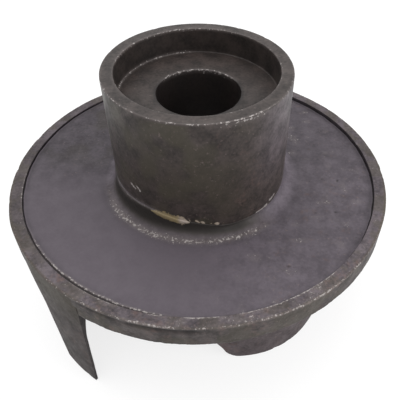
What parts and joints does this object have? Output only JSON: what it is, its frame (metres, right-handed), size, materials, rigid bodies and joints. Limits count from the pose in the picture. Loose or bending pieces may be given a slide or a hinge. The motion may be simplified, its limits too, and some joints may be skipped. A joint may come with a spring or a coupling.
{
  "type": "dewatering pump impeller",
  "caption": "Semi-open cast-iron pump impeller: a lipped back plate, spiral vanes below it, and a tall machined hub with a shaft bore and a seal counterbore.",
  "frame": {"origin": "on the shaft axis, in the plane of the vanes' flat running edges, which the impeller stands on", "axes": "+Z along the shaft axis towards the hub's open end; -Y towards the viewer of the picture, +X to the right"},
  "size_m": [0.1556, 0.1556, 0.1113],
  "materials": {
    "cast_iron": "as cast, turned on the hub and rim, oiled and lightly stained"
  },
  "bodies": {
    "root": {"impeller_casting": "cast_iron"}
  },
  "joints": []
}
